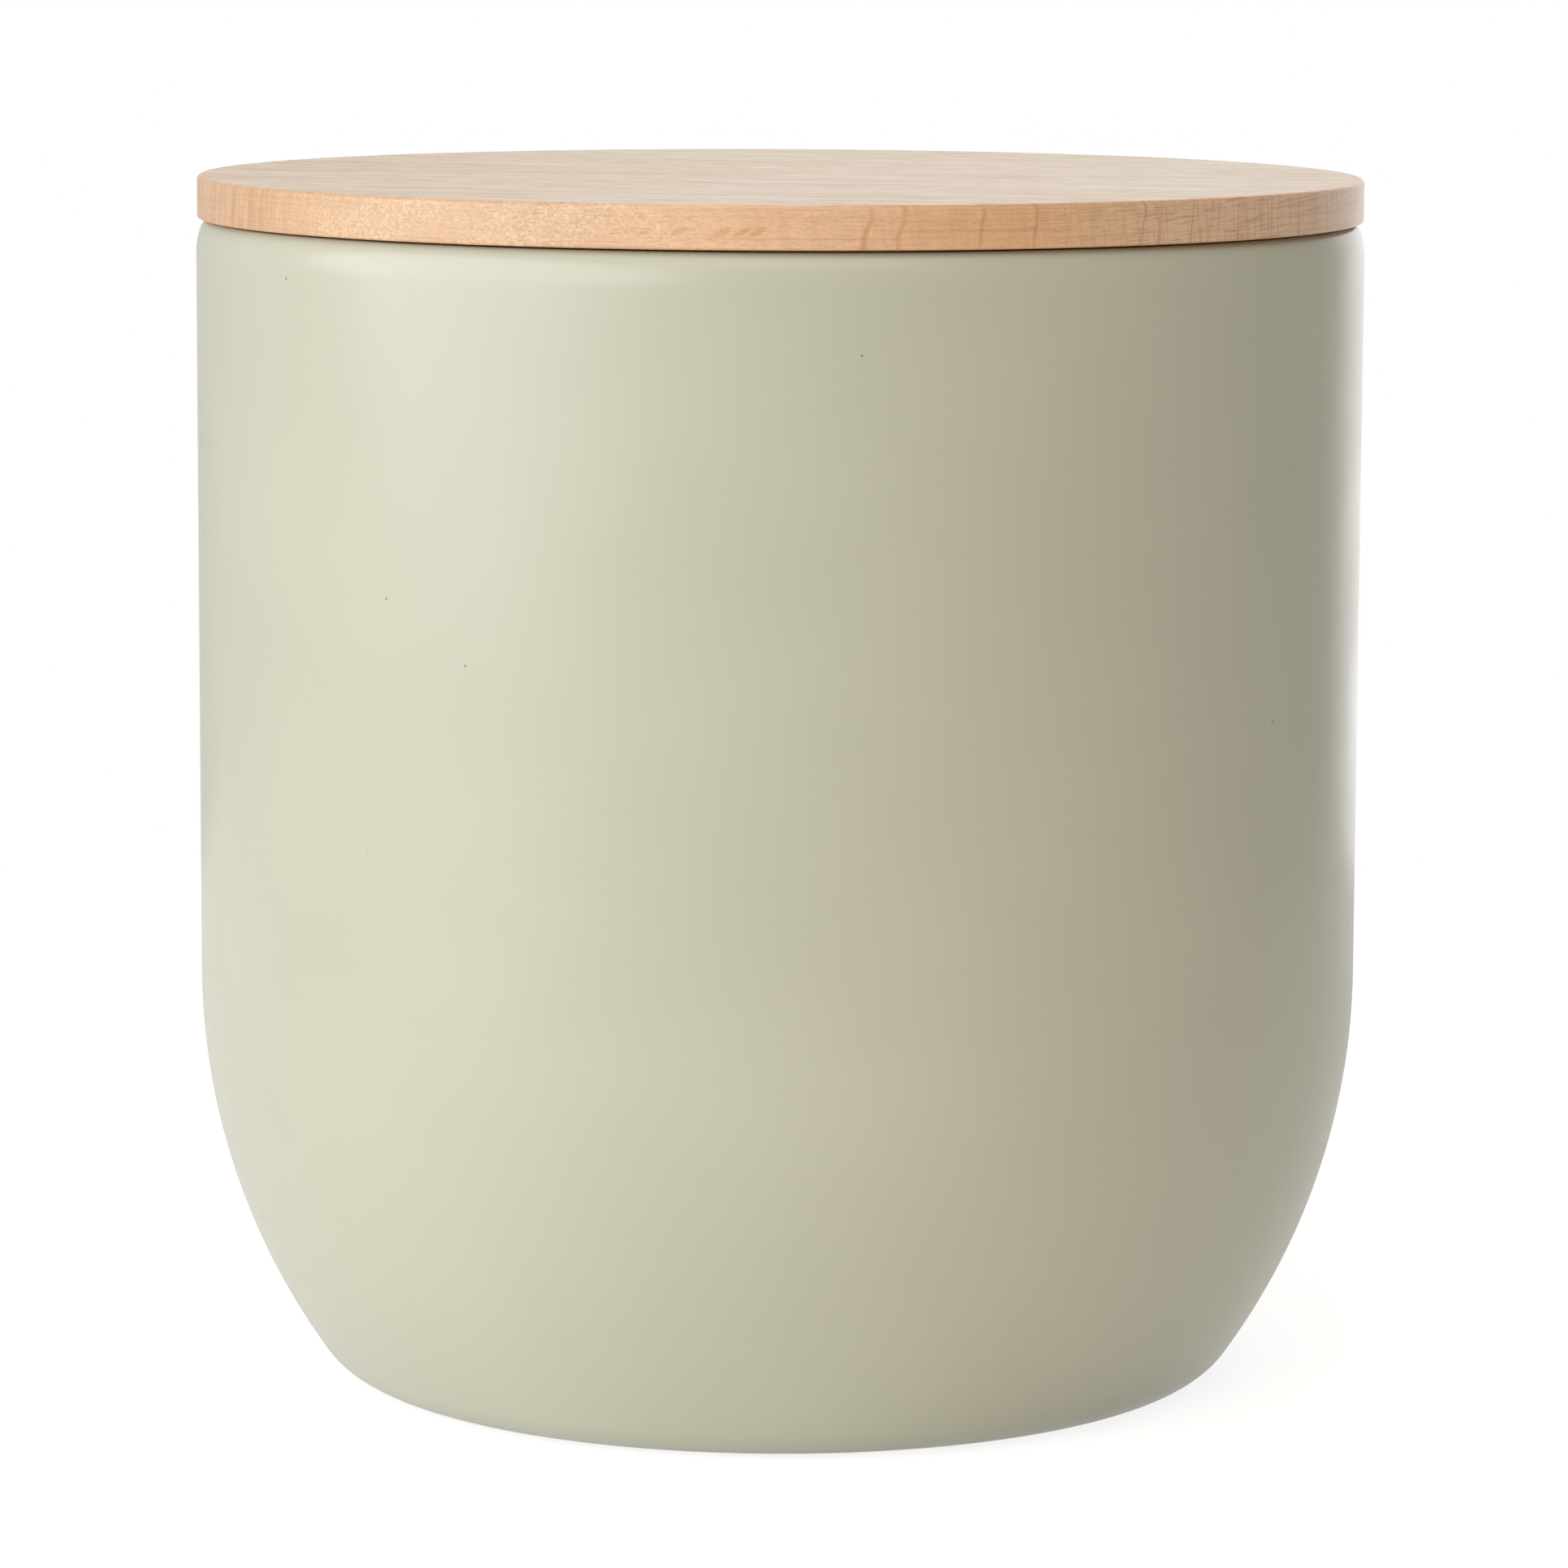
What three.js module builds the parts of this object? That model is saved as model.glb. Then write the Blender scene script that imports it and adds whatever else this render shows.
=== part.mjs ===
// A kitchen canister: a glazed stoneware jar with a flat beech lid.
// The lid is a thin board with a plug glued under it. A silicone ring in the plug's groove seals the mouth.
// Millimetres, +Z up. The origin is the centre of the foot, on the surface that the jar stands on.

import * as THREE from "three";

// Jar body
const BODY_DIAMETER = 150;
const BODY_HEIGHT = 150; // foot to the flat of the rim
const WALL_THICKNESS = 5.8;
const BELLY_HEIGHT = 53; // below this the straight wall curves in towards the foot
const FOOT_INSET = 23.2; // from the wall in to the flat of the foot
const FOOT_ROUND = 9.5; // radius that turns the belly into the flat of the foot
const FOOT_RING_WIDTH = 7;
const FOOT_RECESS = 1.5; // hollow under the base, inside the foot ring
const FLOOR_THICKNESS = 5.8;
const FLOOR_ROUND = 12; // inside corner between the floor and the belly
const RIM_OUTER_WIDTH = 1.6; // the rim's round outside, across
const RIM_OUTER_DROP = 4.4; // and down
const RIM_INNER_WIDTH = 2.4; // the rim's round inside, across
const RIM_INNER_DROP = 2.6; // and down

// Lid board
const LID_THICKNESS = 5.4;
const LID_INSET = 0.15; // from the jar's wall in to the board's edge
const LID_TOP_ROUND = 0.5;
const LID_BOTTOM_ROUND = 0.5;
const SEAT_GAP = 0.25; // between the rim and the board

// Plug under the board
const GLUE_LINE = 0.1;
const PLUG_GAP = 3.2; // between the plug's edge and the jar's mouth
const PLUG_UPPER_LAND = 2.2; // above the groove
const PLUG_LOWER_LIP = 2.6; // below the groove
const PLUG_ROUND = 1;
const GROOVE_DEPTH = 2;

// Seal ring in the groove
const SEAL_HEIGHT = 5;
const SEAL_BAND_THICKNESS = 2.2;
const SEAL_CLEARANCE = 0.2; // to the groove, on every side
const FIN_COUNT = 2;
const FIN_ROOT = 1.2; // thickness where the fin leaves the band
const FIN_TIP = 0.6;
const FIN_RISE = 0.5; // the tip lies this much higher than the root
const FIN_CLEARANCE = 0.25; // to the jar's mouth

// Facets
const TURN_SEGMENTS = 72;
const LONG_ARC_STEPS = 10;
const ROUND_STEPS = 6;
const EDGE_STEPS = 3;

const DOWN = -Math.PI / 2;
const OUT = 0;
const UP = Math.PI / 2;
const IN = Math.PI;

const bodyRadius = BODY_DIAMETER / 2;
const mouthRadius = bodyRadius - WALL_THICKNESS;
const plugRadius = mouthRadius - PLUG_GAP;
const grooveRadius = plugRadius - GROOVE_DEPTH;
const grooveTop = -GLUE_LINE - PLUG_UPPER_LAND;
const grooveBottom = grooveTop - SEAL_HEIGHT - 2 * SEAL_CLEARANCE;

const glaze = new THREE.MeshStandardMaterial({ color: 0xc4c1a8, roughness: 0.45, metalness: 0 });
const beech = new THREE.MeshStandardMaterial({ color: 0xe2bd96, roughness: 0.6, metalness: 0 });
const silicone = new THREE.MeshStandardMaterial({ color: 0xe9e7e1, roughness: 0.5, metalness: 0 });

// A point of a profile: its distance from the axis and its height.
function point(radius, height) {
  return new THREE.Vector2(radius, height);
}

// Points along an arc of a circle, or of an ellipse where the two half axes differ.
function arc(centre, halfWidth, halfHeight, startAngle, endAngle, steps) {
  return Array.from({ length: steps + 1 }, (_, i) => {
    const angle = startAngle + ((endAngle - startAngle) * i) / steps;
    return point(centre.x + halfWidth * Math.cos(angle), centre.y + halfHeight * Math.sin(angle));
  });
}

// A solid of revolution about Z. Its profile runs anticlockwise, with the axis on the left.
function turned(name, profile, material) {
  const geometry = new THREE.LatheGeometry(profile, TURN_SEGMENTS);
  geometry.rotateX(Math.PI / 2);
  const mesh = new THREE.Mesh(geometry, material);
  mesh.name = name;
  return mesh;
}

// The jar: its profile goes out along the foot, up the outside, over the rim and down the inside to the floor.
function jarBody() {
  const footRadius = bodyRadius - FOOT_INSET;
  const ringInside = footRadius - FOOT_RING_WIDTH;
  const floorHeight = FOOT_RECESS + FLOOR_THICKNESS;

  // The belly's arc starts upright at the wall and meets the foot's round without a corner.
  const footCentre = point(footRadius, FOOT_ROUND);
  const drop = BELLY_HEIGHT - FOOT_ROUND;
  const bellyRadius =
    (FOOT_INSET ** 2 + drop ** 2 - FOOT_ROUND ** 2) / (2 * (FOOT_INSET - FOOT_ROUND));
  const bellyCentre = point(bodyRadius - bellyRadius, BELLY_HEIGHT);
  const footAngle = footCentre.clone().sub(bellyCentre).angle() - 2 * Math.PI;

  // Inside, the belly runs parallel to the outside, one wall thickness in.
  const hollowRadius = bellyRadius - WALL_THICKNESS;
  const floorDrop = BELLY_HEIGHT - floorHeight - FLOOR_ROUND;
  const floorReach = Math.sqrt((hollowRadius - FLOOR_ROUND) ** 2 - floorDrop ** 2);
  const floorCentre = point(bellyCentre.x + floorReach, floorHeight + FLOOR_ROUND);
  const floorAngle = Math.atan2(-floorDrop, floorReach);

  const outerRimCentre = point(bodyRadius - RIM_OUTER_WIDTH, BODY_HEIGHT - RIM_OUTER_DROP);
  const innerRimCentre = point(mouthRadius + RIM_INNER_WIDTH, BODY_HEIGHT - RIM_INNER_DROP);

  const profile = [
    point(0, FOOT_RECESS),
    point(ringInside - FOOT_RECESS, FOOT_RECESS),
    point(ringInside, 0),
    ...arc(footCentre, FOOT_ROUND, FOOT_ROUND, DOWN, footAngle, ROUND_STEPS),
    ...arc(bellyCentre, bellyRadius, bellyRadius, footAngle, OUT, LONG_ARC_STEPS).slice(1),
    ...arc(outerRimCentre, RIM_OUTER_WIDTH, RIM_OUTER_DROP, OUT, UP, ROUND_STEPS),
    ...arc(innerRimCentre, RIM_INNER_WIDTH, RIM_INNER_DROP, UP, IN, ROUND_STEPS),
    ...arc(bellyCentre, hollowRadius, hollowRadius, OUT, floorAngle, LONG_ARC_STEPS),
    ...arc(floorCentre, FLOOR_ROUND, FLOOR_ROUND, floorAngle, DOWN, ROUND_STEPS).slice(1),
    point(0, floorHeight),
  ];
  return turned("jar_body", profile, glaze);
}

// The board: a flat disc with eased edges, its underside at height 0.
function lidBoard() {
  const edge = bodyRadius - LID_INSET;
  const lower = point(edge - LID_BOTTOM_ROUND, LID_BOTTOM_ROUND);
  const upper = point(edge - LID_TOP_ROUND, LID_THICKNESS - LID_TOP_ROUND);
  const profile = [
    point(0, 0),
    ...arc(lower, LID_BOTTOM_ROUND, LID_BOTTOM_ROUND, DOWN, OUT, EDGE_STEPS),
    ...arc(upper, LID_TOP_ROUND, LID_TOP_ROUND, OUT, UP, EDGE_STEPS),
    point(0, LID_THICKNESS),
  ];
  return turned("lid_board", profile, beech);
}

// The plug: a smaller disc under the board, with a square groove round its edge for the seal.
function lidPlug() {
  const bottom = grooveBottom - PLUG_LOWER_LIP;
  const lip = point(plugRadius - PLUG_ROUND, bottom + PLUG_ROUND);
  const profile = [
    point(0, bottom),
    ...arc(lip, PLUG_ROUND, PLUG_ROUND, DOWN, OUT, EDGE_STEPS),
    point(plugRadius, grooveBottom),
    point(grooveRadius, grooveBottom),
    point(grooveRadius, grooveTop),
    point(plugRadius, grooveTop),
    point(plugRadius, -GLUE_LINE),
    point(0, -GLUE_LINE),
  ];
  return turned("lid_plug", profile, beech);
}

// The seal: a band in the groove with fins that reach out to the mouth.
function sealRing() {
  const bandInside = grooveRadius + SEAL_CLEARANCE;
  const bandOutside = bandInside + SEAL_BAND_THICKNESS;
  const bandBottom = grooveBottom + SEAL_CLEARANCE;
  const bandTop = grooveTop - SEAL_CLEARANCE;
  const finTip = mouthRadius - FIN_CLEARANCE;
  const finPitch = SEAL_HEIGHT / FIN_COUNT;

  const fins = Array.from({ length: FIN_COUNT }, (_, i) => {
    const root = bandBottom + (i + 0.5) * finPitch;
    const tip = root + FIN_RISE;
    return [
      point(bandOutside, root - FIN_ROOT / 2),
      point(finTip, tip - FIN_TIP / 2),
      point(finTip, tip + FIN_TIP / 2),
      point(bandOutside, root + FIN_ROOT / 2),
    ];
  }).flat();

  const profile = [
    point(bandInside, bandBottom),
    point(bandOutside, bandBottom),
    ...fins,
    point(bandOutside, bandTop),
    point(bandInside, bandTop),
    point(bandInside, bandBottom),
  ];
  return turned("seal_ring", profile, silicone);
}

const lid = new THREE.Group();
lid.position.z = BODY_HEIGHT + SEAT_GAP;
lid.add(lidBoard(), lidPlug(), sealRing());

const canister = new THREE.Group();
canister.add(jarBody(), lid);

export default canister;
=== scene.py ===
import bpy
import numpy as np
from mathutils import Matrix, Vector


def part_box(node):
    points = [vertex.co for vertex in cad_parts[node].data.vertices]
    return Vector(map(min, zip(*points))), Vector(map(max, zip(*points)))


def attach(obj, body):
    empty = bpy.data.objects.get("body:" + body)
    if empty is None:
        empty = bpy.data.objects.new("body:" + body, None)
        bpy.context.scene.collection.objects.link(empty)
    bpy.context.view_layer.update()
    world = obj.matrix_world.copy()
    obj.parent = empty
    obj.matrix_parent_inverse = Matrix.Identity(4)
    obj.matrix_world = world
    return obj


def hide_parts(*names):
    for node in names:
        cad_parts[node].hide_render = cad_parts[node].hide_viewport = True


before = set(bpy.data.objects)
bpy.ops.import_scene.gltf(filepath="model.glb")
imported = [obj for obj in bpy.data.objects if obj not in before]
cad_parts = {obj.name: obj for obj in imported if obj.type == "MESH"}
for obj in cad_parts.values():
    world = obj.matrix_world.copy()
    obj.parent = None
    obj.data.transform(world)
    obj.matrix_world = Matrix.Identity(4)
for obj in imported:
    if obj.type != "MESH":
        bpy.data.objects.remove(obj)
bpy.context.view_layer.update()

# The jar
# One thick piece of stoneware with a rounded rim, straight-walled above and drawn in to a foot ring below.
# It is dipped in a smooth satin glaze the colour of pale sage, and the ring it was fired on is bare clay.

jar_low, jar_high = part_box("jar_body")
JAR_RADIUS = (jar_high.x - jar_low.x) / 2
JAR_HEIGHT = jar_high.z
WALL = 0.0058
BELLY_HEIGHT = 0.053
FOOT_INSET = 0.0232
FOOT_ROUND = 0.0095
FOOT_RING_WIDTH = 0.007
FOOT_RECESS = 0.0015
FLOOR_THICKNESS = 0.0058
FLOOR_ROUND = 0.012
RIM_OUTER_WIDTH = 0.0016
RIM_OUTER_DROP = 0.0044
RIM_INNER_WIDTH = 0.0024
RIM_INNER_DROP = 0.0026
LEAD = 0.0004  # a short straight beside a round, so that the flat next to it shades evenly
SHARP_ANGLE = 35.0  # degrees, past which an edge is shaded as a corner

JAR_TURN_STEPS = 240
FLOOR_POINTS = 6
RECESS_POINTS = 7
FOOT_RING_POINTS = 3
FOOT_POINTS = 14
BELLY_POINTS = 36
WALL_POINTS = 14
RIM_OUTER_POINTS = 24
RIM_FLAT_POINTS = 4
RIM_INNER_POINTS = 18

GLAZE_DEEP = (0.59, 0.58, 0.466)
GLAZE_PALE = (0.61, 0.60, 0.482)
GLAZE_DRIFT = (38, 38, 30)
GLAZE_GLOSS_DRIFT = (14, 14, 14)
GLAZE_ROUGHNESS = (0.22, 0.26)
GLAZE_IOR = 1.5
SPECK_BROWN = (0.12, 0.09, 0.06)
SPECK_SPACING = 9.4
SPECK_REACH = (0.012, 0.022, 0.75, 0.0)  # shares of the spacing, and the speck's strength at each
CLAY_DARK = (0.50, 0.40, 0.29)
CLAY_PALE = (0.70, 0.60, 0.47)
CLAY_GRIT = (0.5, 0.5, 0.5)
CLAY_TOP = (0.10, 0.25, 1.0, 0.0)  # two heights, and the clay's share at each
CLAY_ROUGHER = 0.45

MILLIMETRES = 1000.0  # in a metre: shapes are in metres, and materials are written in millimetres
NOISE_MOST = (0.3, 0.7)  # nearly all of a noise lies between these
MIX_COLOURS = (6, 7)  # a Mix node's two colour inputs, by number
MIX_RESULT = 2  # and its colour output


def arc(centre, half_width, half_height, start, end, count):
    """Points of an ellipse's arc, for angles a that run from start to end in degrees:
    radius = centre's + half width * cos(a), height = centre's + half height * sin(a)."""
    a = np.radians(np.linspace(start, end, count))
    return np.column_stack((centre[0] + half_width * np.cos(a), centre[1] + half_height * np.sin(a)))


def straight(start, end, count):
    """Points spread evenly between two points of a profile, without the ends:
    (1 - share) * start + share * end."""
    share = np.linspace(0, 1, count + 2)[1:-1, None]
    return (1 - share) * np.array(start) + share * np.array(end)


def turned(name, profile, steps, closed=False):
    """A profile carried round the axis: x = r cos(a), y = r sin(a), z = height, for a in one full turn.
    An open profile starts and ends on the axis, where a fan closes each end. A closed one is a ring."""
    profile = np.asarray(profile, float)
    rings = profile if closed else profile[1:-1]
    count = len(rings)
    a = np.arange(steps) * 2 * np.pi / steps
    radius = rings[:, 0, None]
    height = np.repeat(rings[:, 1, None], steps, 1)
    vertices = np.stack((radius * np.cos(a), radius * np.sin(a), height), 2).reshape(-1, 3)
    row = np.arange(count if closed else count - 1)[:, None]
    column = np.arange(steps)[None, :]
    here = row * steps + column
    beside = row * steps + (column + 1) % steps
    above = (row + 1) % count * steps + column
    across = (row + 1) % count * steps + (column + 1) % steps
    faces = np.stack((here, beside, across, above), 2).reshape(-1, 4).tolist()
    if not closed:
        first_pole = len(vertices)
        poles = np.array([[0, 0, profile[0, 1]], [0, 0, profile[-1, 1]]])
        vertices = np.vstack((vertices, poles))
        edge = np.arange(steps)
        after = (edge + 1) % steps
        last_ring = (count - 1) * steps
        pole = np.full(steps, first_pole)
        faces += np.column_stack((pole, after, edge)).tolist()
        faces += np.column_stack((pole + 1, last_ring + edge, last_ring + after)).tolist()
    mesh = bpy.data.meshes.new(name)
    mesh.from_pydata(vertices.tolist(), [], faces)
    mesh.polygons.foreach_set("use_smooth", np.ones(len(mesh.polygons), bool))
    mesh.set_sharp_from_angle(angle=np.radians(SHARP_ANGLE))
    mesh.update()
    made = bpy.data.objects.new(name, mesh)
    bpy.context.scene.collection.objects.link(made)
    return made


def jar_profile():
    """From the middle of the underside along the foot, up the outside, over the rim and down to the floor.
    The belly's arc is upright at the wall and touches the foot's round. The inside runs parallel to it."""
    foot_radius = JAR_RADIUS - FOOT_INSET
    ring_inside = foot_radius - FOOT_RING_WIDTH
    floor = FOOT_RECESS + FLOOR_THICKNESS
    drop = BELLY_HEIGHT - FOOT_ROUND
    belly = (FOOT_INSET**2 + drop**2 - FOOT_ROUND**2) / (2 * (FOOT_INSET - FOOT_ROUND))
    centre = (JAR_RADIUS - belly, BELLY_HEIGHT)
    foot_angle = np.degrees(np.arctan2(-drop, foot_radius - centre[0]))
    hollow = belly - WALL
    floor_drop = BELLY_HEIGHT - floor - FLOOR_ROUND
    floor_reach = np.sqrt((hollow - FLOOR_ROUND) ** 2 - floor_drop**2)
    floor_angle = np.degrees(np.arctan2(-floor_drop, floor_reach))
    floor_centre = (centre[0] + floor_reach, floor + FLOOR_ROUND)
    mouth = JAR_RADIUS - WALL
    outer_rim = (JAR_RADIUS - RIM_OUTER_WIDTH, JAR_HEIGHT - RIM_OUTER_DROP)
    inner_rim = (mouth + RIM_INNER_WIDTH, JAR_HEIGHT - RIM_INNER_DROP)
    recess_edge = (ring_inside - FOOT_RECESS, FOOT_RECESS)
    return np.vstack((
        (0, FOOT_RECESS),
        straight((0, FOOT_RECESS), recess_edge, FLOOR_POINTS),
        recess_edge,
        arc((ring_inside, FOOT_RECESS), FOOT_RECESS, FOOT_RECESS, 180, 270, RECESS_POINTS)[1:],
        straight((ring_inside, 0), (foot_radius, 0), FOOT_RING_POINTS),
        arc((foot_radius, FOOT_ROUND), FOOT_ROUND, FOOT_ROUND, -90, foot_angle, FOOT_POINTS),
        arc(centre, belly, belly, foot_angle, 0, BELLY_POINTS)[1:],
        straight((JAR_RADIUS, BELLY_HEIGHT), (JAR_RADIUS, outer_rim[1]), WALL_POINTS),
        (JAR_RADIUS, outer_rim[1] - LEAD),
        arc(outer_rim, RIM_OUTER_WIDTH, RIM_OUTER_DROP, 0, 90, RIM_OUTER_POINTS),
        straight((outer_rim[0], JAR_HEIGHT), (inner_rim[0], JAR_HEIGHT), RIM_FLAT_POINTS),
        arc(inner_rim, RIM_INNER_WIDTH, RIM_INNER_DROP, 90, 180, RIM_INNER_POINTS),
        (mouth, inner_rim[1] - LEAD),
        straight((mouth, inner_rim[1]), (mouth, BELLY_HEIGHT), WALL_POINTS),
        arc(centre, hollow, hollow, 0, floor_angle, BELLY_POINTS),
        arc(floor_centre, FLOOR_ROUND, FLOOR_ROUND, floor_angle, -90, FOOT_POINTS)[1:],
        straight((floor_centre[0], floor), (0, floor), FLOOR_POINTS),
        (0, floor),
    ))


def add_node(tree, kind, inputs=None, **settings):
    """Adds a shader node: settings are its own properties, and inputs gives sockets a value or a link."""
    made = tree.nodes.new(kind)
    for name, value in settings.items():
        setattr(made, name, value)
    for name, value in (inputs or {}).items():
        if isinstance(value, bpy.types.NodeSocket):
            tree.links.new(value, made.inputs[name])
        else:
            made.inputs[name].default_value = value
    return made


def calculate(tree, operation, first, second=0.0, third=0.0):
    """One step of arithmetic between sockets or numbers."""
    inputs = {0: first, 1: second, 2: third}
    return add_node(tree, "ShaderNodeMath", inputs, operation=operation).outputs[0]


def times(tree, product, *factors):
    """The product of sockets or numbers."""
    for factor in factors:
        product = calculate(tree, "MULTIPLY", product, factor)
    return product


def spread(tree, value, low, high, to_low=0.0, to_high=1.0):
    """Maps one range smoothly to another: with t = (value - low) / (high - low), held between 0 and 1,
    the result is to_low + (to_high - to_low) * t * t * (3 - 2 * t)."""
    inputs = {"Value": value, "From Min": low, "From Max": high, "To Min": to_low, "To Max": to_high}
    return add_node(tree, "ShaderNodeMapRange", inputs, interpolation_type="SMOOTHSTEP").outputs["Result"]


def tint(tree, share, first, second):
    """Mixes two colours by a share: (1 - share) * first + share * second."""
    mixed = add_node(tree, "ShaderNodeMix", {"Factor": share}, data_type="RGBA")
    for number, colour in zip(MIX_COLOURS, (first, second)):
        if isinstance(colour, bpy.types.NodeSocket):
            tree.links.new(colour, mixed.inputs[number])
        else:
            mixed.inputs[number].default_value = (*colour, 1.0)
    return mixed.outputs[MIX_RESULT]


def grain_noise(tree, place, size, detail=2.0, roughness=0.5):
    """Noise at place / size, so that its features measure about size, in millimetres, along each axis."""
    shrink = {0: place, 1: tuple(1 / length for length in size)}
    scaled = add_node(tree, "ShaderNodeVectorMath", shrink, operation="MULTIPLY").outputs[0]
    inputs = {"Vector": scaled, "Scale": 1.0, "Detail": detail, "Roughness": roughness}
    return add_node(tree, "ShaderNodeTexNoise", inputs).outputs["Fac"]


def start_material(name):
    """A material with its shader, and with the piece's own place in millimetres."""
    material = bpy.data.materials.new(name)
    material.use_nodes = True
    tree = material.node_tree
    shader = tree.nodes["Principled BSDF"]
    place = add_node(tree, "ShaderNodeTexCoord").outputs["Object"]
    scaled = add_node(tree, "ShaderNodeVectorMath", {0: place, 3: MILLIMETRES}, operation="SCALE")
    return material, tree, shader, scaled.outputs[0]


def sage_glaze():
    """Pale sage glaze, uneven in depth by a slow noise, with an iron speck where it meets a cell's middle.
    On the flat of the foot ring it gives way to bare gritty clay."""
    material, tree, shader, place = start_material("sage_glaze")
    depth = grain_noise(tree, place, GLAZE_DRIFT, detail=3.0)
    glaze = tint(tree, spread(tree, depth, *NOISE_MOST), GLAZE_DEEP, GLAZE_PALE)
    cells = {"Vector": place, "Scale": 1 / SPECK_SPACING}
    to_middle = add_node(tree, "ShaderNodeTexVoronoi", cells, feature="F1").outputs["Distance"]
    glaze = tint(tree, spread(tree, to_middle, *SPECK_REACH), glaze, SPECK_BROWN)
    grit = grain_noise(tree, place, CLAY_GRIT, detail=4.0, roughness=0.7)
    clay = tint(tree, grit, CLAY_DARK, CLAY_PALE)
    height = add_node(tree, "ShaderNodeSeparateXYZ", {"Vector": place}).outputs["Z"]
    bare = spread(tree, height, *CLAY_TOP)
    tree.links.new(tint(tree, bare, glaze, clay), shader.inputs["Base Color"])
    gloss = spread(tree, grain_noise(tree, place, GLAZE_GLOSS_DRIFT), *NOISE_MOST, *GLAZE_ROUGHNESS)
    rough = calculate(tree, "ADD", gloss, times(tree, bare, CLAY_ROUGHER))
    tree.links.new(rough, shader.inputs["Roughness"])
    shader.inputs["IOR"].default_value = GLAZE_IOR
    return material


jar = turned("jar", jar_profile(), JAR_TURN_STEPS)
jar.data.materials.append(sage_glaze())
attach(jar, "jar")
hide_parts("jar_body")

# The lid's board
# A thin disc cut from one quarter-sawn beech board, so that its growth rings stand nearly upright.
# Its edge was turned and sanded, and the cutter tore it a little at the left of the front.
# Nothing covers it but a thin coat of oil.

board_low, board_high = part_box("lid_board")
BOARD_RADIUS = (board_high.x - board_low.x) / 2
BOARD_TOP_ROUND = 0.0006
BOARD_BOTTOM_ROUND = 0.00028
BOARD_TURN_STEPS = 320
DISC_POINTS = 16
EDGE_POINTS = 8
ROUND_POINTS = 9

GRAIN_TURN = 16.6  # degrees
RAY_TILT = -4.6  # degrees

# Where the marks are: across the grain for rings and painted-sheen streaks, along it for flames and torn
# wood.
EDGE_FADE = (0.7, 0.2)  # the face's look turns into the edge's between these distances from the rim
RING_LEAN = 0.12
RING_WANDER = 1.1
RING_REACH = (0.03, 0.24)  # a ring's line is strongest within the first distance, and gone past the second
RING_PLACES_AND_STRENGTHS = (
    (67.8, 0.9), (66.0, 0.9), (60.9, 0.7), (56.7, 0.9), (53.6, 0.3), (48.0, 0.35), (45.7, 0.9), (43.7, 0.9),
    (39.4, 0.9), (37.9, 0.5), (36.6, 0.8), (35.4, 0.5), (32.1, 0.7), (27.5, 0.8), (25.6, 0.8), (24.2, 0.5),
    (21.4, 0.6), (19.3, 0.6), (14.7, 0.5), (11.0, 0.5), (7.2, 0.5), (3.1, 0.5),
)
WHITE_STREAK_PLACES = (54.9, 42.8, 17.5)
FLAME_PLACES = (5.7, 9.7, 14.8, 17.1, 18.8)
FLAME_HEIGHT = -0.5
FLAME_HALF_LENGTH = 1.15
FLAME_HALF_WIDTH = 0.42
FLAME_SLOPE = 0.42
TORN_START = (-58, -30)
TORN_END = (2, 24)
UNDER_HEIGHTS = (0.04, 0.22)  # above the underside

# Two places along the grain, and a mark's share at each.
RINGS_GROW_CLEAR = (4, 34, 0.12, 1.0)
RAYS_GROW_CLEAR = (40, 58, 0.26, 0.5)
# Painted sheen: the faces whiten towards the right.
FACE_SHEEN_GROWS = (-10, 70, 0.0, 0.2)
COARSE_SHEETS_END = (-60, -28, 0.55, 0.0)
LEFT_SHEETS_END = (-62, -26, 0.4, 0.0)
RIGHT_SHEETS_START = (46, 62, 0.12, 0.28)
LEFT_TONE = (-70, -46, 0.75, 0.0)
FRONT_TONE = (-8, 14, 0.0, 0.9)
ORANGE_START = (28, 42, 0.0, 1.0)
ORANGE_END = (46, 58, 0.75, 0.0)
# Painted sheen: the edge pales towards its right end.
RIGHT_SHEEN_TONE = (50, 72, 0.0, 0.85)
ARRIS_START = (15, 45, 0.0, 1.0)

# Two levels of a noise, a distance or a height, and a mark's share at each. Where the name ends in ON_EDGE,
# the levels are 0 for the face and 1 for the edge.
RING_PATCHES = (0.35, 0.65, 0.3, 0.8)
RINGS_ON_EDGE = (0, 1, 0.4, 1.0)
FLAME_REACH = (0.1, 1.4, 0.5, 0.0)
WHITE_STREAK_REACH = (0.4, 1.7, 1.0, 0.0)
WHITE_BREAKS = (0.3, 0.6, 0.2, 0.8)
BAND_PALE = (0.5, 0.75, 0.0, 0.4)
FIGURE_CONTRAST = (0.40, 0.60, 0.0, 1.0)
FLECK_DARK = (0.54, 0.70, 0.0, 0.26)
SHEET_DARK = (0.42, 0.66, 0.0, 1.0)
SHEETS_ON_EDGE = (0, 1, 0.45, 1.0)
RAY_DARK = (0.52, 0.70, 0.0, 1.0)
RAYS_ON_EDGE = (0, 1, 0.15, 1.0)
FIBRE_DARK = (0.35, 0.65, 0.2, 0.0)
TURNING_LINE_DARK = (0.5, 0.7, 0.0, 0.32)
ARRIS_HEIGHTS = (2.3, 2.45, 0.0, 0.6)
TORN_PATCHES = (0.3, 0.6, 0.25, 1.0)
CURL_PALE = (0.45, 0.68, 0.0, 0.52)
# Painted shade in the hollows between the torn curls.
CURL_HOLLOW_SHADE = (0.30, 0.45, 0.4, 0.0)

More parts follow.
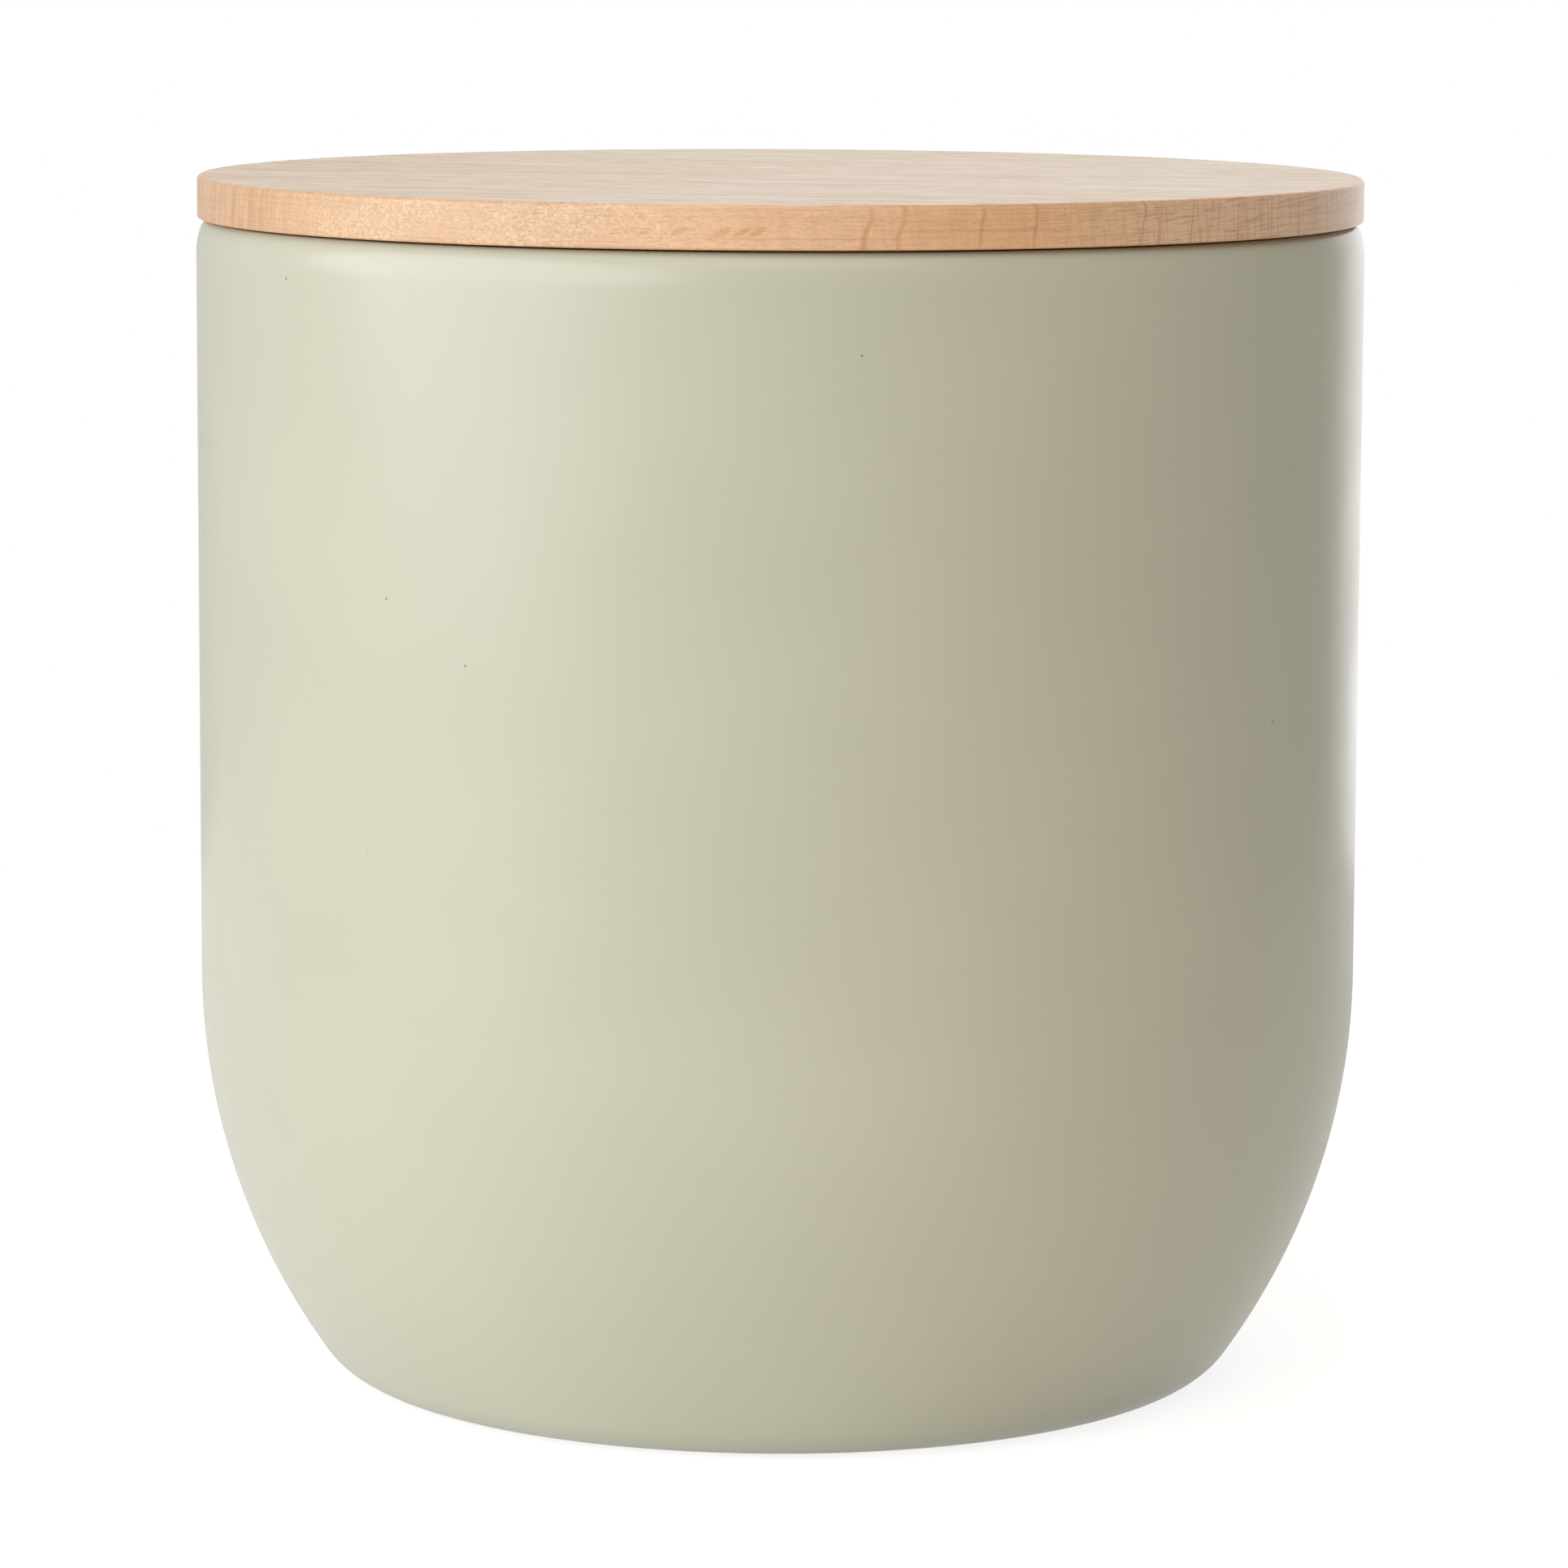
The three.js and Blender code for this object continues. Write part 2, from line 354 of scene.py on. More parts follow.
# How large the wood's figures are: along the grain, across it and up.
WANDER_SIZE = (60, 18, 4)
RING_PATCH_SIZE = (24, 3, 5)
TORN_PATCH_SIZE = (9, 9, 4)
CURL_SIZE = (0.52, 0.52, 0.36)
TONE_SIZE = (60, 14, 12)
BAND_SIZE = (160, 4.0, 60)
WHITE_BREAK_SIZE = (14, 60, 60)
STREAK_SIZE = (40, 1.8, 20)
DASH_SIZE = (6, 1.9, 5)
FLECK_SIZE = (2.0, 0.75, 3)
COARSE_SHEET_SIZE = (40, 1.2, 12)
FINE_SHEET_SIZE = (40, 0.34, 10)
RAY_SIZE = (2.0, 12, 0.23)
FIBRE_SIZE = (9, 0.22, 0.22)
TURNING_LINE_SIZE = (30, 30, 0.17)

# The faces' tones are the beech's colour paled and greyed by a painted sheen; the streak colour is painted
# sheen too.
FACE_PALE_AND_SHEEN = (0.915, 0.80, 0.67)
FACE_DEEP_AND_SHEEN = (0.775, 0.655, 0.53)
FACE_SHEEN_STREAK = (0.965, 0.92, 0.86)
EDGE_PALE = (0.80, 0.535, 0.33)
EDGE_DEEP = (0.76, 0.485, 0.285)
LEFT_END = (0.87, 0.575, 0.35)
FRONT_BRIGHT = (0.95, 0.605, 0.37)
FRONT_ORANGE = (0.93, 0.53, 0.28)
# Painted sheen at the edge's right end, over the wood's tone.
RIGHT_END_SHEEN = (0.98, 0.71, 0.505)
ARRIS_ORANGE = (0.80, 0.42, 0.19)
# The bare underside's browner tone, darkened further as painted shade for the seam under the lid.
UNDER_BROWN_AND_SEAM_SHADE = (0.62, 0.34, 0.155)
RING_BROWN = (0.66, 0.29, 0.11)
RAY_BROWN = (0.55, 0.28, 0.145)
TORN_CREAM = (0.95, 0.74, 0.52)
# TORN_CREAM is the torn fibres' paler colour; the brown after it is painted shade in their hollows.
TORN_HOLLOW_SHADE = (0.60, 0.32, 0.15)
DASH_SHARE = 0.45
STREAK_SHARE = 0.8
FACE_ROUGHNESS = 0.55
EDGE_ROUGHNESS = 0.30
FIGURE_SMOOTHER = 0.10
STREAK_SMOOTHER = 0.06
CURL_RELIEF = 1.5
RELIEF_STRENGTH = 0.4
RELIEF_DEPTH = 0.0001


def board_profile():
    """A flat underside, a small round, the upright edge, a small round and a flat top."""
    lower = (BOARD_RADIUS - BOARD_BOTTOM_ROUND, board_low.z + BOARD_BOTTOM_ROUND)
    upper = (BOARD_RADIUS - BOARD_TOP_ROUND, board_high.z - BOARD_TOP_ROUND)
    return np.vstack((
        (0, board_low.z),
        straight((0, board_low.z), (lower[0], board_low.z), DISC_POINTS),
        (lower[0] - LEAD / 2, board_low.z),
        arc(lower, BOARD_BOTTOM_ROUND, BOARD_BOTTOM_ROUND, -90, 0, ROUND_POINTS),
        (BOARD_RADIUS, lower[1] + LEAD / 2),
        straight((BOARD_RADIUS, lower[1]), (BOARD_RADIUS, upper[1]), EDGE_POINTS),
        (BOARD_RADIUS, upper[1] - LEAD / 2),
        arc(upper, BOARD_TOP_ROUND, BOARD_TOP_ROUND, 0, 90, ROUND_POINTS),
        (upper[0] - LEAD / 2, board_high.z),
        straight((upper[0], board_high.z), (0, board_high.z), DISC_POINTS),
        (0, board_high.z),
    ))


def distance(tree, value, place):
    """How far a value is from a place: |value - place|."""
    return calculate(tree, "ABSOLUTE", calculate(tree, "SUBTRACT", value, place))


def across_grain(tree, grain, sideways, height):
    """The place across the grain, alike either side of the middle: |sideways - lean * height + wander|."""
    wander = calculate(tree, "SUBTRACT", grain_noise(tree, grain, WANDER_SIZE), 0.5)
    leaning = calculate(tree, "MULTIPLY_ADD", height, -RING_LEAN, sideways)
    return calculate(tree, "ABSOLUTE", calculate(tree, "MULTIPLY_ADD", wander, RING_WANDER, leaning))


def growth_rings(tree, grain, along, across, edge):
    """A thin line wherever the place across the grain is near a ring's. The lines come and go in patches,
    and are fainter towards the left and on the faces."""
    rings = 0.0
    for place, strength in RING_PLACES_AND_STRENGTHS:
        line = spread(tree, distance(tree, across, place), *RING_REACH, strength, 0.0)
        rings = calculate(tree, "MAXIMUM", rings, line)
    patches = spread(tree, grain_noise(tree, grain, RING_PATCH_SIZE, detail=1.0), *RING_PATCHES)
    clear = spread(tree, along, *RINGS_GROW_CLEAR)
    return times(tree, rings, patches, clear, spread(tree, edge, *RINGS_ON_EDGE))


def flames(tree, along, height, edge):
    """Slanting ovals on the edge, dark where (aside / half length)^2 + (above / half width)^2 is small.
    Above is the height over a line that climbs by the slope."""
    ovals = 0.0
    rising = calculate(tree, "SUBTRACT", height, FLAME_HEIGHT)
    for place in FLAME_PLACES:
        aside = calculate(tree, "SUBTRACT", along, place)
        above = calculate(tree, "MULTIPLY_ADD", aside, -FLAME_SLOPE, rising)
        aside = calculate(tree, "DIVIDE", aside, FLAME_HALF_LENGTH)
        above = calculate(tree, "DIVIDE", above, FLAME_HALF_WIDTH)
        away = calculate(tree, "ADD", times(tree, aside, aside), times(tree, above, above))
        ovals = calculate(tree, "MAXIMUM", ovals, spread(tree, away, *FLAME_REACH))
    return times(tree, ovals, edge)


def sheen_streaks(tree, grain, across):
    """Pale bands of grain from a long noise, and a whiter streak near each place given, broken along the
    grain. Their whiteness on the faces is painted sheen.
    """
    pale = spread(tree, grain_noise(tree, grain, BAND_SIZE, roughness=0.6), *BAND_PALE)
    broken = spread(tree, grain_noise(tree, grain, WHITE_BREAK_SIZE, detail=1.0), *WHITE_BREAKS)
    for place in WHITE_STREAK_PLACES:
        streak = spread(tree, distance(tree, across, place), *WHITE_STREAK_REACH)
        pale = calculate(tree, "MAXIMUM", pale, times(tree, streak, broken))
    return pale


def dashed_figure(tree, grain):
    """The face's figure: (1 - share) * a noise of streaks + share * one of dashes, with more contrast."""
    streak = grain_noise(tree, grain, STREAK_SIZE, detail=3.0, roughness=0.65)
    dash = grain_noise(tree, grain, DASH_SIZE, roughness=0.6)
    streaks = times(tree, streak, 1 - DASH_SHARE)
    pattern = calculate(tree, "MULTIPLY_ADD", dash, DASH_SHARE, streaks)
    return spread(tree, pattern, *FIGURE_CONTRAST)


def face_colour(tree, grain, along, figure, pale):
    """The faces go from deep to pale with the figure, both tones paler and greyer than the edge's by a
    painted sheen. They have brown flecks, white streaks of painted sheen along paler grain, and a painted
    sheen that whitens them towards the right."""
    fleck = grain_noise(tree, grain, FLECK_SIZE)
    # Painted sheen: both face tones are paler and greyer than the wood.
    face = tint(tree, figure, FACE_DEEP_AND_SHEEN, FACE_PALE_AND_SHEEN)
    face = tint(tree, spread(tree, fleck, *FLECK_DARK), face, RAY_BROWN)
    # Painted sheen along the white streaks.
    face = tint(tree, times(tree, pale, STREAK_SHARE), face, FACE_SHEEN_STREAK)
    # Painted sheen that grows towards the right.
    return tint(tree, spread(tree, along, *FACE_SHEEN_GROWS), face, FACE_SHEEN_STREAK)


def edge_colour(tree, grain, along, height):
    """The edge's tones, which follow one another along the grain: left end, front, orange, right end. The
    right end's pale tone is painted sheen over the wood. The upper arris turns orange towards the right."""
    tone = grain_noise(tree, grain, TONE_SIZE)
    side = tint(tree, spread(tree, tone, *NOISE_MOST), EDGE_DEEP, EDGE_PALE)
    side = tint(tree, spread(tree, along, *LEFT_TONE), side, LEFT_END)
    side = tint(tree, spread(tree, along, *FRONT_TONE), side, FRONT_BRIGHT)
    orange = times(tree, spread(tree, along, *ORANGE_START), spread(tree, along, *ORANGE_END))
    side = tint(tree, orange, side, FRONT_ORANGE)
    # Painted sheen: the right end of the edge pales.
    side = tint(tree, spread(tree, along, *RIGHT_SHEEN_TONE), side, RIGHT_END_SHEEN)
    arris = times(tree, spread(tree, along, *ARRIS_START), spread(tree, height, *ARRIS_HEIGHTS))
    return tint(tree, arris, side, ARRIS_ORANGE)


def fine_lines(tree, place, grain, along, edge, fibre, colour):
    """Browns a colour by the share of each fine line: coarse upright sheets at the left end, fine ones at
    both ends, level blades of the rays, fibres, and the lines that turning left round the edge."""
    sheets_on_edge = spread(tree, edge, *SHEETS_ON_EDGE)
    coarse_noise = grain_noise(tree, grain, COARSE_SHEET_SIZE, detail=3.0, roughness=0.8)
    coarse = times(tree, spread(tree, coarse_noise, *SHEET_DARK), spread(tree, along, *COARSE_SHEETS_END))
    fine_noise = grain_noise(tree, grain, FINE_SHEET_SIZE, roughness=0.6)
    at_right = spread(tree, along, *RIGHT_SHEETS_START)
    ends = calculate(tree, "MAXIMUM", at_right, spread(tree, along, *LEFT_SHEETS_END))
    fine = times(tree, spread(tree, fine_noise, *SHEET_DARK), ends)
    ray = spread(tree, grain_noise(tree, grain, RAY_SIZE, detail=1.0), *RAY_DARK)
    ray_clear = spread(tree, along, *RAYS_GROW_CLEAR)
    turning = spread(tree, grain_noise(tree, place, TURNING_LINE_SIZE), *TURNING_LINE_DARK)
    shares = (
        times(tree, coarse, sheets_on_edge),
        times(tree, fine, sheets_on_edge),
        times(tree, ray, ray_clear, spread(tree, edge, *RAYS_ON_EDGE)),
        spread(tree, fibre, *FIBRE_DARK),
        times(tree, edge, turning),
    )
    for share in shares:
        colour = tint(tree, share, colour, RAY_BROWN)
    return colour


def beech(name, grain_turn, low, high, marked):
    """Beech with its grain along x after a turn of grain_turn degrees about the axis. Rings are sheets that
    stand along the grain, rays are thin level blades across it, and fibres run with it. Marked is the
    share of what only the board has: a browner underside and lower arris, partly painted shade for the
    seam under the lid, and a torn, paler stretch of its edge with painted shade in its hollows."""
    material, tree, shader, place = start_material(name)
    middle = MILLIMETRES * (low.z + high.z) / 2
    turn = {"Vector": place, "Location": (0, 0, -middle), "Rotation": (0, 0, np.radians(grain_turn))}
    level = add_node(tree, "ShaderNodeMapping", turn).outputs[0]
    tilt = {"Vector": level, "Rotation": (np.radians(RAY_TILT), 0, 0)}
    grain = add_node(tree, "ShaderNodeMapping", tilt).outputs[0]
    grain_parts = add_node(tree, "ShaderNodeSeparateXYZ", {"Vector": grain}).outputs
    along = grain_parts["X"]
    height = add_node(tree, "ShaderNodeSeparateXYZ", {"Vector": level}).outputs["Z"]
    across = across_grain(tree, grain, grain_parts["Y"], height)

    flat = add_node(tree, "ShaderNodeVectorMath", {0: place, 1: (1, 1, 0)}, operation="MULTIPLY").outputs[0]
    radius = add_node(tree, "ShaderNodeVectorMath", {0: flat}, operation="LENGTH").outputs["Value"]
    rim = MILLIMETRES * (high.x - low.x) / 2
    edge = spread(tree, radius, rim - EDGE_FADE[0], rim - EDGE_FADE[1])

    figure = dashed_figure(tree, grain)
    pale = sheen_streaks(tree, grain, across)
    face = face_colour(tree, grain, along, figure, pale)
    colour = tint(tree, edge, face, edge_colour(tree, grain, along, height))
    # The underside and lower arris go browner: the bare wood's tone, and painted shade for the seam under
    # the lid.
    bottom = MILLIMETRES * (low.z - high.z) / 2
    under = spread(tree, height, bottom + UNDER_HEIGHTS[0], bottom + UNDER_HEIGHTS[1], marked, 0.0)
    colour = tint(tree, under, colour, UNDER_BROWN_AND_SEAM_SHADE)
    fibre = grain_noise(tree, grain, FIBRE_SIZE, detail=3.0, roughness=0.6)
    colour = fine_lines(tree, place, grain, along, edge, fibre, colour)
    rings = growth_rings(tree, grain, along, across, edge)
    rings_and_flames = calculate(tree, "MAXIMUM", rings, flames(tree, along, height, edge))
    colour = tint(tree, rings_and_flames, colour, RING_BROWN)

    stretch = times(tree, spread(tree, along, *TORN_START), spread(tree, along, *TORN_END, marked, 0.0))
    patches = spread(tree, grain_noise(tree, place, TORN_PATCH_SIZE, detail=1.0), *TORN_PATCHES)
    torn = times(tree, stretch, edge, patches)
    # Torn curls: paler raised fibres, with painted shade in the hollows between them.
    curl = grain_noise(tree, place, CURL_SIZE, roughness=0.65)
    colour = tint(tree, times(tree, torn, spread(tree, curl, *CURL_PALE)), colour, TORN_CREAM)
    colour = tint(tree, times(tree, torn, spread(tree, curl, *CURL_HOLLOW_SHADE)), colour, TORN_HOLLOW_SHADE)
    tree.links.new(colour, shader.inputs["Base Color"])

    face_rough = calculate(tree, "MULTIPLY_ADD", figure, -FIGURE_SMOOTHER, FACE_ROUGHNESS)
    oiled = spread(tree, edge, 0, 1, face_rough, EDGE_ROUGHNESS)
    rough = calculate(tree, "MULTIPLY_ADD", pale, -STREAK_SMOOTHER, oiled)
    tree.links.new(rough, shader.inputs["Roughness"])
    raised = calculate(tree, "MULTIPLY_ADD", times(tree, torn, curl), CURL_RELIEF, fibre)
    bump = {"Strength": RELIEF_STRENGTH, "Distance": RELIEF_DEPTH, "Height": raised}
    relief = add_node(tree, "ShaderNodeBump", bump)
    tree.links.new(relief.outputs["Normal"], shader.inputs["Normal"])
    return material


board = turned("board", board_profile(), BOARD_TURN_STEPS)
board.data.materials.append(beech("board_beech", GRAIN_TURN, board_low, board_high, 1.0))
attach(board, "lid")
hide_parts("lid_board")

# The lid's plug
# A second, thicker beech disc glued under the board with its grain across the first, to keep the lid flat.
# A square groove is turned round its edge to hold the seal.

plug_low, plug_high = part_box("lid_plug")
seal_low, seal_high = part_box("seal_ring")
PLUG_RADIUS = (plug_high.x - plug_low.x) / 2
PLUG_ROUND = 0.001
PLUG_ARRIS = 0.0003
GROOVE_DEPTH = 0.002
SEAL_CLEARANCE = 0.0002
GLUE_LINE = 0.0001
PLUG_GRAIN_TURN = 101.0
PLUG_TURN_STEPS = 240
PLUG_TOP_POINTS = 8
GROOVE_POINTS = 3
ARRIS_POINTS = 5


def plug_profile():
    """A flat underside with a round arris, then the groove with eased corners, and up into the glue."""
    groove_bottom = seal_low.z - SEAL_CLEARANCE
    groove_top = seal_high.z + SEAL_CLEARANCE
    eased = PLUG_RADIUS - PLUG_ARRIS
    groove = PLUG_RADIUS - GROOVE_DEPTH + PLUG_ARRIS
    lip = (PLUG_RADIUS - PLUG_ROUND, plug_low.z + PLUG_ROUND)
    top = plug_high.z + GLUE_LINE / 2
    return np.vstack((
        (0, plug_low.z),
        straight((0, plug_low.z), (lip[0], plug_low.z), DISC_POINTS),
        arc(lip, PLUG_ROUND, PLUG_ROUND, -90, 0, ROUND_POINTS),
        arc((eased, groove_bottom - PLUG_ARRIS), PLUG_ARRIS, PLUG_ARRIS, 0, 90, ARRIS_POINTS),
        straight((eased, groove_bottom), (groove, groove_bottom), GROOVE_POINTS),
        arc((groove, groove_bottom + PLUG_ARRIS), PLUG_ARRIS, PLUG_ARRIS, 270, 180, ARRIS_POINTS),
        arc((groove, groove_top - PLUG_ARRIS), PLUG_ARRIS, PLUG_ARRIS, 180, 90, ARRIS_POINTS),
        straight((groove, groove_top), (eased, groove_top), GROOVE_POINTS),
        arc((eased, groove_top + PLUG_ARRIS), PLUG_ARRIS, PLUG_ARRIS, -90, 0, ARRIS_POINTS),
        arc((eased, top - PLUG_ARRIS), PLUG_ARRIS, PLUG_ARRIS, 0, 90, ARRIS_POINTS),
        straight((eased, top), (0, top), PLUG_TOP_POINTS),
        (0, top),
    ))


plug = turned("plug", plug_profile(), PLUG_TURN_STEPS)
plug.data.materials.append(beech("plug_beech", PLUG_GRAIN_TURN, plug_low, plug_high, 0.0))
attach(plug, "lid")
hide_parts("lid_plug")

# The seal
# A soft ring of cloudy silicone, stretched over the plug's lip into the groove.
# Two thin fins stand out from its band and rise a little, where the mouth has pressed them.

SEAL_BAND = 0.0022
SEAL_EASE = 0.0003
FIN_COUNT = 2
FIN_ROOT = 0.0012
FIN_TIP = 0.0006
FIN_RISE = 0.0005
SEAL_TURN_STEPS = 240
EASE_POINTS = 4
FIN_POINTS = 3
TIP_POINTS = 7
SILICONE_DEEP = (0.76, 0.76, 0.72)
SILICONE_PALE = (0.83, 0.83, 0.80)
SILICONE_BLOOM = (6, 6, 2)
SILICONE_ROUGHNESS = (0.40, 0.52)
SILICONE_IOR = 1.41
SILICONE_CLOUD = 0.3
SILICONE_CLOUD_DEPTH = 0.0015


def seal_profile():
    """Round the band from its inner lower corner, and out along each fin and back. The corners are eased,
    a fin's tip is half a circle, and small fillets join its root to the band."""
    inside = PLUG_RADIUS - GROOVE_DEPTH + SEAL_CLEARANCE
    outside = inside + SEAL_BAND
    tip_radius = seal_high.x - FIN_TIP / 2
    pitch = (seal_high.z - seal_low.z) / FIN_COUNT
    ease = SEAL_EASE
    points = [
        arc((inside + ease, seal_low.z + ease), ease, ease, 180, 270, EASE_POINTS),
        arc((outside - ease, seal_low.z + ease), ease, ease, -90, 0, EASE_POINTS),
    ]
    for fin in range(FIN_COUNT):
        root = seal_low.z + (fin + 0.5) * pitch
        tip = root + FIN_RISE
        points += [
            arc((outside + ease, root - FIN_ROOT / 2 - ease), ease, ease, 180, 90, EASE_POINTS),
            straight((outside + ease, root - FIN_ROOT / 2), (tip_radius, tip - FIN_TIP / 2), FIN_POINTS),
            arc((tip_radius, tip), FIN_TIP / 2, FIN_TIP / 2, -90, 90, TIP_POINTS),
            straight((tip_radius, tip + FIN_TIP / 2), (outside + ease, root + FIN_ROOT / 2), FIN_POINTS),
            arc((outside + ease, root + FIN_ROOT / 2 + ease), ease, ease, 270, 180, EASE_POINTS),
        ]
    points += [
        arc((outside - ease, seal_high.z - ease), ease, ease, 0, 90, EASE_POINTS),
        arc((inside + ease, seal_high.z - ease), ease, ease, 90, 180, EASE_POINTS),
    ]
    return np.vstack(points)


def cloudy_silicone():
    """Cloudy white silicone: light goes a little way in, and a noise gives its skin an uneven bloom."""
    material, tree, shader, place = start_material("cloudy_silicone")
    bloom = grain_noise(tree, place, SILICONE_BLOOM, detail=3.0)
    tree.links.new(tint(tree, bloom, SILICONE_DEEP, SILICONE_PALE), shader.inputs["Base Color"])
    rough = spread(tree, bloom, *NOISE_MOST, *SILICONE_ROUGHNESS)
    tree.links.new(rough, shader.inputs["Roughness"])
    shader.inputs["IOR"].default_value = SILICONE_IOR
    shader.inputs["Subsurface Weight"].default_value = SILICONE_CLOUD
    shader.inputs["Subsurface Scale"].default_value = SILICONE_CLOUD_DEPTH
    return material


seal = turned("seal", seal_profile(), SEAL_TURN_STEPS, closed=True)
seal.data.materials.append(cloudy_silicone())
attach(seal, "seal")
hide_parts("seal_ring")

# The floor and the light
# A square white table top under the jar, one wide soft lamp low on the left, and a pale room with a warm
# strip of light along its ceiling. Table and room look white to the eye. The table takes a faint shadow.

TABLE_HALF = 0.42
TABLE_WHITE = (0.96, 0.96, 0.95)
TABLE_SHADE = (0.3, 0.3, 0.3)
TABLE_SEEN_GLOW = 0.86
TABLE_MIRRORED = 0.68
LAMP_TURN = 60.0
LAMP_LIFT = 14.5
LAMP_DISTANCE = 1.3
LAMP_SIZE = (2.2, 0.88)
LAMP_POWER = 13.85
LAMP_COLOUR = (0.93, 0.965, 1.0)

WALL_COLOUR = (0.03, 0.03, 0.03)
GROUND_COLOUR = (0.92, 0.91, 0.85)
CEILING_COLOUR = (1.65, 1.53, 1.35)
CEILING_MIRRORED = 1.1
ROOM_MIRRORED = 0.5

# Two values of a direction's part, x to the right, y to the back or z up, and a light's share at each.
GROUND_HORIZON = (-0.03, 0.01, 1.0, 0.0)
GROUND_LAMP_SIDE = (-0.85, -0.45, 1.0, 0.5)
CEILING_START = (0.36, 0.48, 0.0, 1.0)
CEILING_STRIP = (0.35, 0.60, 1.0, 0.05)
CEILING_FRONT = (-0.45, 0.0, 1.0, 0.5)
PAPER_BEHIND = (0.72, 0.90, 0.0, 1.0)
PAPER_BRIGHTENS = (-0.36, 0.22, 0.0, 1.05)


def seen_directly(tree):
    """1 for what the camera sees directly, in a reflection or through something clear, and otherwise 0."""
    path = add_node(tree, "ShaderNodeLightPath").outputs
    seen = calculate(tree, "MAXIMUM", path["Is Camera Ray"], path["Is Glossy Ray"])
    return calculate(tree, "MAXIMUM", seen, path["Is Transmission Ray"])


def table_finish():
    """Matt white that lights the jar from below. The eye sees it as white, with only a faint shade on it.
    From underneath it is clear, so that the foot can be seen."""
    material = bpy.data.materials.new("white_table")
    material.use_nodes = True
    tree = material.node_tree
    tree.nodes.remove(tree.nodes["Principled BSDF"])
    white = add_node(tree, "ShaderNodeBsdfDiffuse", {"Color": (*TABLE_WHITE, 1)}).outputs[0]
    shade = add_node(tree, "ShaderNodeBsdfDiffuse", {"Color": (*TABLE_SHADE, 1)}).outputs[0]
    glossy = add_node(tree, "ShaderNodeLightPath").outputs["Is Glossy Ray"]
    mirrored_change = TABLE_SEEN_GLOW * (TABLE_MIRRORED - 1)
    strength = calculate(tree, "MULTIPLY_ADD", glossy, mirrored_change, TABLE_SEEN_GLOW)
    glow = add_node(tree, "ShaderNodeEmission", {"Strength": strength}).outputs[0]
    bright = add_node(tree, "ShaderNodeAddShader", {0: shade, 1: glow}).outputs[0]
    upper = add_node(tree, "ShaderNodeMixShader", {0: seen_directly(tree), 1: white, 2: bright}).outputs[0]
    below = add_node(tree, "ShaderNodeNewGeometry").outputs["Backfacing"]
    clear = add_node(tree, "ShaderNodeBsdfTransparent").outputs[0]
    mixed = add_node(tree, "ShaderNodeMixShader", {0: below, 1: upper, 2: clear}).outputs[0]
    tree.links.new(mixed, tree.nodes["Material Output"].inputs["Surface"])
    return material


def pale_room():
    """A room with dim walls and a long warm light along its ceiling, from front to back, brighter in front.
    Its white ground is brightest on the lamp's side. The eye sees it all white. In reflections it is
    ROOM_MIRRORED + the ceiling's light + paper behind the jar, which brightens from left to right."""
    room = bpy.data.worlds.new("pale_room")
    room.use_nodes = True
    tree = room.node_tree
    direction = add_node(tree, "ShaderNodeTexCoord").outputs["Generated"]
    parts = add_node(tree, "ShaderNodeSeparateXYZ", {"Vector": direction}).outputs
    low_down = spread(tree, parts["Z"], *GROUND_HORIZON)
    ground = times(tree, low_down, spread(tree, parts["X"], *GROUND_LAMP_SIDE))
    strip = spread(tree, calculate(tree, "ABSOLUTE", parts["X"]), *CEILING_STRIP)
    front = spread(tree, parts["Y"], *CEILING_FRONT)
    ceiling = times(tree, spread(tree, parts["Z"], *CEILING_START), strip, front)
    light = tint(tree, ground, WALL_COLOUR, GROUND_COLOUR)
    light = tint(tree, ceiling, light, CEILING_COLOUR)
    lit = tree.nodes["Background"]
    tree.links.new(light, lit.inputs["Color"])

    behind = spread(tree, parts["Y"], *PAPER_BEHIND)
    paper = spread(tree, parts["X"], *PAPER_BRIGHTENS)
    mirrored_change = calculate(tree, "MULTIPLY_ADD", behind, paper, ROOM_MIRRORED - 1.0)
    mirrored_change = calculate(tree, "MULTIPLY_ADD", ceiling, CEILING_MIRRORED, mirrored_change)
    glossy = add_node(tree, "ShaderNodeLightPath").outputs["Is Glossy Ray"]
    bright = calculate(tree, "MULTIPLY_ADD", glossy, mirrored_change, 1.0)
    seen = add_node(tree, "ShaderNodeBackground", {"Color": (1, 1, 1, 1), "Strength": bright})
    choice = {0: seen_directly(tree), 1: lit.outputs[0], 2: seen.outputs[0]}
    mixed = add_node(tree, "ShaderNodeMixShader", choice).outputs[0]
    tree.links.new(mixed, tree.nodes["World Output"].inputs["Surface"])
    return room


